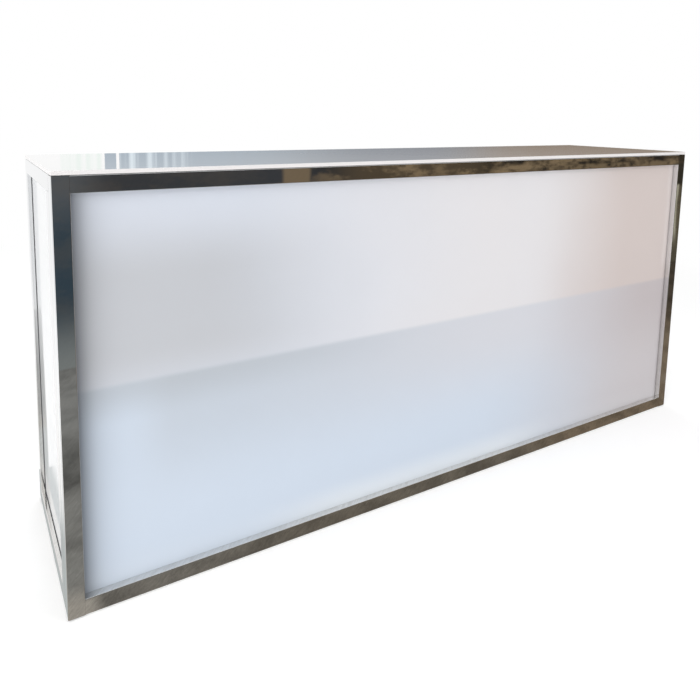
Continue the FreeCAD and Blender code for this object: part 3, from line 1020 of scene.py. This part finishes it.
@dataclass
class Boards(PackedGroup):
    """The melamine floor and shelf boards."""

    board: Melamine = Melamine()

    def wear(self) -> dict[str, Finish]:
        """Returns the boards' finish, left and right."""
        return {"*_board_left": self.board, "*_board_right": self.board}


@dataclass
class Hardware(PackedGroup):
    """The screws and the floor glides."""

    zinc: ZincPlate = ZincPlate()
    nylon: MouldedNylon = MouldedNylon()

    def wear(self) -> dict[str, Finish]:
        """Returns the screws' finish and the glides'."""
        return {"*_screws": self.zinc, "floor_glide_*": self.nylon}


@dataclass(frozen=True)
class StudioFloor(Finish):
    """A plain pale floor with the object's soft shadow, which turns pure white further off."""

    name: str = "studio_floor"
    pale: Colour = (0.86, 0.86, 0.86)
    lift: float = 0.22
    near: float = 2.2
    far: float = 4.5

    def build(self, graph: Graph) -> None:
        """Grows the floor's nodes.

        Args:
            graph: the tree to grow.
        """
        x, y, _ = graph.place()
        seen = graph.seen()
        matt = graph.node("ShaderNodeBsdfDiffuse", None, {"Color": self.pale})
        lift = graph.emission(WHITE, seen * self.lift)
        both = {0: matt.outputs[0], 1: lift.outputs[0]}
        shadowed = graph.node("ShaderNodeAddShader", None, both)
        glow = graph.emission(WHITE, LIGHT_SHARE + seen * (1.0 - LIGHT_SHARE))
        distance = (x * x + y * y) ** 0.5
        graph.close(graph.mix_shaders(distance.step(self.near, self.far), shadowed, glow))


@dataclass(frozen=True)
class CardFinish(Finish):
    """A mottled card that glows at its own tone, so that no lamp changes what metal shows of it.

    Light on its way to a matt surface passes through it, so it shades nothing.
    """

    def glow(self, graph: Graph, colour: Socket) -> None:
        """Ends the tree with that colour as it is.

        Args:
            graph: the card's tree.
            colour: the socket that gives the colour.
        """
        made = graph.emission(colour, 1.0)
        clear = graph.node("ShaderNodeBsdfTransparent")
        bounced = graph.node("ShaderNodeLightPath").outputs["Diffuse Depth"]
        graph.close(graph.mix_shaders(bounced, made, clear))


@dataclass(frozen=True)
class FrontCardFinish(CardFinish):
    """Dark and cool on the left, streaked with bronze on the right, paler at its foot."""

    name: str = "front_card"
    cool: Colour = (0.038, 0.058, 0.075)
    corner: Colour = (0.085, 0.095, 0.105)
    head: Colour = (0.046, 0.048, 0.052)
    dark: Colour = (0.020, 0.017, 0.014)
    bronze: Colour = (0.25, 0.18, 0.105)
    olive: Colour = (0.40, 0.37, 0.28)
    foot: Colour = (0.20, 0.215, 0.21)
    far_foot: Colour = (0.085, 0.075, 0.052)
    streak_scale: float = 2.6
    fine_scale: float = 14.0
    right_x: Span = (0.1, 0.8)
    corner_x: Span = (-0.7, -0.95)
    head_height: Span = (0.6, 0.83)
    spotted: Span = (0.42, 0.62)
    sill_height: Span = (0.875, 0.85)
    sill_x: Span = (1.9, 2.4)
    block_middle: float = 0.245
    block_reach: Span = (0.1, 0.07)
    glow_middle: float = 1.1
    glow_reach: Span = (0.75, 0.4)
    post_x: Span = (3.7, 3.78)
    post_height: Span = (0.85, 0.82)
    post_head_x: Span = (3.78, 3.81)
    post_head_height: Span = (0.62, 0.67)
    stripe_start: Span = (3.79, 3.81)
    stripe_end: Span = (3.855, 3.835)
    stripe_top: Span = (0.67, 0.64)
    stripe_foot: Span = (0.08, 0.3)
    far_foot_x: Span = (0.5, 3.0)
    foot_height: Span = (0.33, 0.0)
    left_end: Span = (-1.06, -1.42)

    def build(self, graph: Graph) -> None:
        """Grows the card's nodes.

        Args:
            graph: the tree to grow.
        """
        x, y, z = graph.place()
        streaks = graph.noise(graph.point(x, y, z * 3.0), self.streak_scale, 7.0, 0.66)
        fine = graph.noise(graph.point(x, y, z * 1.5), self.fine_scale, 4.0, 0.6)
        right = x.step(*self.right_x)
        top = graph.mix(x.step(*self.corner_x), self.head, self.corner)
        left = graph.mix(z.step(*self.head_height), self.cool, top)
        base = graph.mix(right, left, self.dark)
        spots = (streaks * 0.75 + fine * 0.25).step(*self.spotted)
        sill = z.step(*self.sill_height) * x.step(*self.sill_x) * 0.7
        block = abs(x - self.block_middle).step(*self.block_reach) * 0.7
        middle = abs(x - self.glow_middle).step(*self.glow_reach) * 0.28
        bright = (spots * (0.1 + right * 0.9)).larger(sill * fine.step(0.3, 0.55))
        mottled = graph.mix(bright.larger(block).larger(middle), base, self.bronze)
        post = x.step(*self.post_x) * z.step(*self.post_height)
        mottled = graph.mix(post * 0.75, mottled, self.far_foot)
        post_head = x.step(*self.post_head_x) * z.step(*self.post_head_height)
        mottled = graph.mix(post_head * 0.8, mottled, self.dark)
        stripe = x.step(*self.stripe_start) * x.step(*self.stripe_end)
        pale = z.step(*self.stripe_top) * z.step(*self.stripe_foot) * stripe
        mottled = graph.mix(pale, mottled, self.olive)
        feet = graph.mix(x.step(*self.far_foot_x), self.foot, self.far_foot)
        whole = graph.mix(z.step(*self.foot_height), mottled, feet)
        self.glow(graph, graph.mix(x.step(*self.left_end), whole, WHITE))


@dataclass(frozen=True)
class MatFinish(CardFinish):
    """A worn grey-brown mat: mid grey on the left, browner on the right, darker far off there.

    A painted shadow darkens it along the counter's foot, and painted light brightens it beside the left end.
    """

    name: str = "floor_mat"
    left: Colour = (0.20, 0.20, 0.19)
    right: Colour = (0.175, 0.137, 0.098)
    far: Colour = (0.063, 0.050, 0.036)
    # Painted shadow tones along the counter's foot.
    foot_shadow_left: Colour = (0.178, 0.168, 0.150)
    foot_shadow_right: Colour = (0.146, 0.129, 0.105)
    patch_scale: float = 6.5
    pile_scale: float = 240.0
    right_x: Span = (-1.1, 0.4)
    far_x: Span = (0.8, 2.2)
    far_y: Span = (0.7, 1.2)
    outer_x: Span = (1.35, 1.6)
    outer_y: Span = (-0.5, -0.36)
    seam_front: float = 0.94
    seam_reach: Span = (0.2, 0.06)
    seam_x: Span = (0.0, -0.5)
    near_y: Span = (-0.42, -0.32)
    foot_right_x: Span = (-1.0, -0.4)
    foot_x: Span = (0.7, 0.2)
    foot_light_x: Span = (-1.08, -1.13)
    patched: Span = (0.38, 0.6)
    white_x: Span = (1.6, 3.0)
    white_y: Span = (-0.62, -0.3)
    left_end: Span = (-1.19, -1.5)

    def build(self, graph: Graph) -> None:
        """Grows the mat's nodes.

        Args:
            graph: the tree to grow.
        """
        x, y, z = graph.place()
        patches = graph.noise(graph.point(x + y * 0.7, y, z), self.patch_scale, 7.0, 0.62)
        pile = graph.noise(graph.point(x, y, z), self.pile_scale, 3.0, 0.6)
        tone = graph.mix(x.step(*self.right_x), self.left, self.right)
        tone = graph.mix(x.step(*self.far_x) * abs(y).step(*self.far_y), tone, self.far)
        outer = x.step(*self.outer_x) * y.step(*self.outer_y)
        tone = graph.mix(outer, tone, OUTER_GREY)
        seam = abs(y + self.seam_front).step(*self.seam_reach) * x.step(*self.seam_x)
        near = y.step(*self.near_y)
        # Painted shadow: darker tones along the counter's foot.
        feet = graph.mix(x.step(*self.foot_right_x), self.foot_shadow_left, self.foot_shadow_right)
        tone = graph.mix(near * x.step(*self.foot_x), tone, feet)
        # Painted light beside the counter's left end, and a little more painted shadow along its foot.
        foot = near * x.step(*self.foot_light_x) * 1.1
        shade = patches.step(*self.patched) * 0.36 + (pile - 0.5) * 0.6 + 0.82 - seam * 0.38
        shade = shade - near * 0.06 + foot
        whole = graph.shaded(tone, shade)
        whole = graph.mix(x.step(*self.white_x) * y.step(*self.white_y), whole, WHITE)
        self.glow(graph, graph.mix(x.step(*self.left_end), whole, WHITE))


@dataclass(frozen=True)
class SideMatFinish(CardFinish):
    """A pale grey mat that fades away towards the back, for the foot of the left end's steel."""

    name: str = "side_mat"
    grey: Colour = (0.50, 0.53, 0.53)
    patch_scale: float = 14.0
    patch_reach: float = 0.2
    fade_y: Span = (-0.05, 0.34)
    fade_x: Span = (-1.195, -1.22)

    def build(self, graph: Graph) -> None:
        """Grows the mat's nodes.

        Args:
            graph: the tree to grow.
        """
        x, y, z = graph.place()
        patches = graph.noise(graph.point(x, y, z), self.patch_scale, 4.0, 0.6)
        back = (y + (patches - 0.5) * self.patch_reach).step(*self.fade_y)
        self.glow(graph, graph.mix(back * x.step(*self.fade_x), self.grey, WHITE))


@dataclass(frozen=True)
class OuterMatFinish(CardFinish):
    """A grey mat that fades away with distance, for the steel of the back and the right end."""

    name: str = "outer_mat"
    start_x: float = 1.19
    start_y: float = 0.30
    patch_scale: float = 8.0
    patch_reach: float = 0.3
    fade: Span = (0.1, 1.3)

    def build(self, graph: Graph) -> None:
        """Grows the mat's nodes.

        Args:
            graph: the tree to grow.
        """
        x, y, z = graph.place()
        patches = graph.noise(graph.point(x, y, z), self.patch_scale, 5.0, 0.6)
        away = (x - self.start_x).larger(0.0) + (y - self.start_y).larger(0.0)
        faded = (away + (patches - 0.5) * self.patch_reach).step(*self.fade)
        self.glow(graph, graph.mix(faded, OUTER_GREY, WHITE))


@dataclass(frozen=True)
class BackCardFinish(CardFinish):
    """Pale at its left end, then streaked blue grey, then brown, for the glossy top."""

    name: str = "back_card"
    left: Colour = (0.23, 0.32, 0.41)
    right: Colour = (0.15, 0.085, 0.03)
    slate: Colour = (0.07, 0.10, 0.15)
    pane: Colour = (0.80, 0.92, 1.0)
    haze: Colour = (0.84, 0.93, 0.88)
    streak_scale: float = 14.0
    streak_reach: float = 0.8
    right_x: Span = (-0.4, 5.0)
    slate_middle: float = 2.6
    slate_reach: Span = (1.6, 0.3)
    streaked: Span = (0.46, 0.6)
    pane_end: Span = (0.45, 0.15)
    pane_start: Span = (-0.22, -0.2)
    bar_middle: float = -0.229
    bar_reach: Span = (0.014, 0.01)
    hazed: Span = (0.4, 0.6)
    pale_end: float = -0.33
    pale_blur: float = 0.003

    def build(self, graph: Graph) -> None:
        """Grows the card's nodes.

        Args:
            graph: the tree to grow.
        """
        x, y, _ = graph.place()
        streaks = graph.noise(graph.point(x, y, 0.0), self.streak_scale, 5.0)
        spread = (x + (streaks - 0.5) * self.streak_reach).step(*self.right_x)
        toned = graph.mix(spread, self.left, self.right)
        slate = abs(x - self.slate_middle).step(*self.slate_reach) * 0.7
        toned = graph.mix(slate, toned, self.slate)
        panes = streaks.step(*self.streaked) * x.step(*self.pane_end)
        panes = panes * x.step(*self.pane_start) * 0.75
        toned = graph.mix(panes, toned, self.pane)
        bar = abs(x - self.bar_middle).step(*self.bar_reach)
        toned = graph.mix(bar, toned, WHITE)
        faint = graph.mix(streaks.step(*self.hazed), self.haze, WHITE)
        ended = x.step(self.pale_end + self.pale_blur, self.pale_end - self.pale_blur)
        self.glow(graph, graph.mix(ended, toned, faint))


@dataclass
class Card:
    """A flat card beside the counter that only polished metal and acrylic reflect."""

    name: str
    start: Place
    end: Place
    sweep: Place
    finish: Finish

    def build(self) -> None:
        """Sweeps the card from one edge, and hides it from all but glossy rays."""
        mesh = bmesh.new()
        edge = mesh.edges.new([mesh.verts.new(self.start), mesh.verts.new(self.end)])
        swept = bmesh.ops.extrude_edge_only(mesh, edges=[edge])["geom"]
        moved = [v for v in swept if isinstance(v, bmesh.types.BMVert)]
        bmesh.ops.translate(mesh, vec=self.sweep, verts=moved)
        card = stage_piece(mesh, self.name, self.finish)
        card.visible_camera = False
        card.visible_diffuse = False
        card.visible_shadow = False
        card.visible_transmission = False


def stage_piece(mesh: bmesh.types.BMesh, name: str, finish: Finish) -> Piece:
    """Ends a mesh as a piece of the stage.

    Args:
        mesh: the mesh, which is freed.
        name: the piece's name.
        finish: what it wears.

    Returns:
        The piece.
    """
    data = bpy.data.meshes.new(name)
    mesh.to_mesh(data)
    mesh.free()
    made = bpy.data.objects.new(name, data)
    bpy.context.scene.collection.objects.link(made)
    finish.dress(made)
    return made


@dataclass
class SoftLamp:
    """One large soft lamp, aimed at the counter."""

    name: str
    place: Place
    size: float
    power: float
    aim: Place = (0.0, 0.0, 0.55)

    def build(self) -> None:
        """Hangs the lamp."""
        data = bpy.data.lights.new(self.name, "AREA")
        data.shape = "SQUARE"
        data.size = self.size
        data.energy = self.power
        lamp = bpy.data.objects.new(self.name, data)
        lamp.location = self.place
        way = Vector(self.aim) - Vector(self.place)
        lamp.rotation_euler = way.to_track_quat("-Z", "Y").to_euler()
        lamp.visible_glossy = False
        bpy.context.scene.collection.objects.link(lamp)


@dataclass
class Studio:
    """The plain pale floor, white background, soft lamps and the cards that metal reflects."""

    floor_side: float = 60.0
    card_height: float = 2.6
    mat_height: float = 1.0 * MM
    lamps: tuple[SoftLamp, ...] = (
        SoftLamp("key_lamp", place=(-4.6, -2.0, 2.8), size=2.2, power=95.0),
        SoftLamp("fill_lamp", place=(3.2, -4.6, 2.8), size=3.0, power=75.0),
        SoftLamp("back_lamp", place=(1.5, 4.6, 3.0), size=3.0, power=60.0),
        SoftLamp("top_lamp", place=(0.0, 0.0, 4.2), size=3.5, power=30.0, aim=(0.0, 0.0, 1.0)),
    )

    def build(self) -> None:
        """Sets the stage up."""
        self._world()
        mesh = bmesh.new()
        bmesh.ops.create_grid(mesh, size=self.floor_side / 2)
        stage_piece(mesh, "studio_floor", StudioFloor())
        for card in self._cards():
            card.build()
        for lamp in self.lamps:
            lamp.build()

    def _cards(self) -> list[Card]:
        """Lists the upright cards and the mats round the counter.

        Returns:
            The cards.
        """
        front, back, side = FrontCardFinish(), BackCardFinish(), SideMatFinish()
        mat, outer = MatFinish(), OuterMatFinish()
        up, low = (0.0, 0.0, self.card_height), self.mat_height
        return [
            Card("front_card", start=(-1.45, -1.86, 0.0), end=(9.0, -1.86, 0.0), sweep=up, finish=front),
            Card("front_mat", (-1.55, -0.27, low), (-1.55, -1.86, low), sweep=(10.5, 0.0, 0.0), finish=mat),
            Card("side_mat", (-1.176, -0.27, low), (-1.176, 0.45, low), sweep=(-1.2, 0.0, 0.0), finish=side),
            Card("back_mat", (-1.17, 0.30, low), (-1.17, 1.9, low), sweep=(2.36, 0.0, 0.0), finish=outer),
            Card("right_mat", (1.19, -0.27, low), (1.19, 1.9, low), sweep=(7.76, 0.0, 0.0), finish=outer),
            Card("back_card", start=(-0.66, 3.5, 0.0), end=(12.0, 3.5, 0.0), sweep=up, finish=back),
        ]

    def _world(self) -> None:
        """Makes a white world that lights the object at a part of its seen strength."""
        world = bpy.data.worlds.new("studio_world")
        world.use_nodes = True
        bpy.context.scene.world = world
        graph = Graph(world.node_tree)
        strength = LIGHT_SHARE + graph.seen() * (1.0 - LIGHT_SHARE)
        sky = graph.node("ShaderNodeBackground", None, {"Color": WHITE, "Strength": strength})
        graph.close(sky, "ShaderNodeOutputWorld")


@dataclass
class PhotoCamera:
    """The camera at the photograph's place, angle and framing."""

    place: Place = (-1.3445, -1.7472, 1.1969)
    heading: float = math.radians(30.375)
    dip: float = math.radians(7.244)
    roll: float = math.radians(0.829)
    focal_pixels: float = 633.3
    centre: tuple[float, float] = (327.3, 194.5)

    def build(self) -> None:
        """Sets the camera up as the scene's own."""
        data = bpy.data.cameras.new("photo_camera")
        data.sensor_width = SENSOR_MM
        data.lens = self.focal_pixels / PICTURE_SIDE * SENSOR_MM
        data.shift_x = (PICTURE_SIDE / 2 - self.centre[0]) / PICTURE_SIDE
        data.shift_y = (self.centre[1] - PICTURE_SIDE / 2) / PICTURE_SIDE
        camera = bpy.data.objects.new("photo_camera", data)
        bpy.context.scene.collection.objects.link(camera)
        camera.matrix_world = self._stand()
        bpy.context.scene.camera = camera

    def _stand(self) -> Matrix:
        """Works out how the camera stands.

        Returns:
            Its place and turn.
        """
        level_share = math.cos(self.dip)
        east, north = math.sin(self.heading) * level_share, math.cos(self.heading) * level_share
        ahead = Vector((east, north, -math.sin(self.dip)))
        level = Vector((math.cos(self.heading), -math.sin(self.heading), 0.0))
        down = ahead.cross(level)
        right = level * math.cos(self.roll) - down * math.sin(self.roll)
        up = -(level * math.sin(self.roll) + down * math.cos(self.roll))
        turned = Matrix((right, up, -ahead)).transposed().to_4x4()
        return Matrix.Translation(self.place) @ turned


def main() -> None:
    """Builds the counter's looks in order, then the studio and the camera."""
    logging.basicConfig(level=logging.INFO, format="%(name)s: %(message)s")
    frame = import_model()
    nodes = frame["nodes"]
    bpy.context.scene.view_settings.view_transform = "Standard"
    log.info("steel frame: %d nodes", SteelFrame().dress(nodes))
    log.info("bearers: %d nodes", Bearers().dress(nodes))
    log.info("panel fittings: %d nodes", PanelFittings().dress(nodes))
    log.info("boards: %d nodes", Boards().dress(nodes))
    log.info("hardware: %d nodes", Hardware().dress(nodes))
    end = EndAcrylic()
    for side, finish in (("front", FrontAcrylic()), ("left", end), ("right", end)):
        sheet = AcrylicSheet(
            f"{side}_panel", finish, Slot.PANELS, corner_radius=0.8 * MM, edge_radius=0.4 * MM
        )
        log.info("acrylic: %s", sheet.build().name)
    top = AcrylicSheet(
        "top_sheet", CastTop(), Slot.TOP, corner_radius=2.0 * MM, edge_radius=0.6 * MM
    )
    log.info("top: %s", top.build().name)
    Studio().build()
    PhotoCamera().build()


if __name__ == "__main__":
    main()
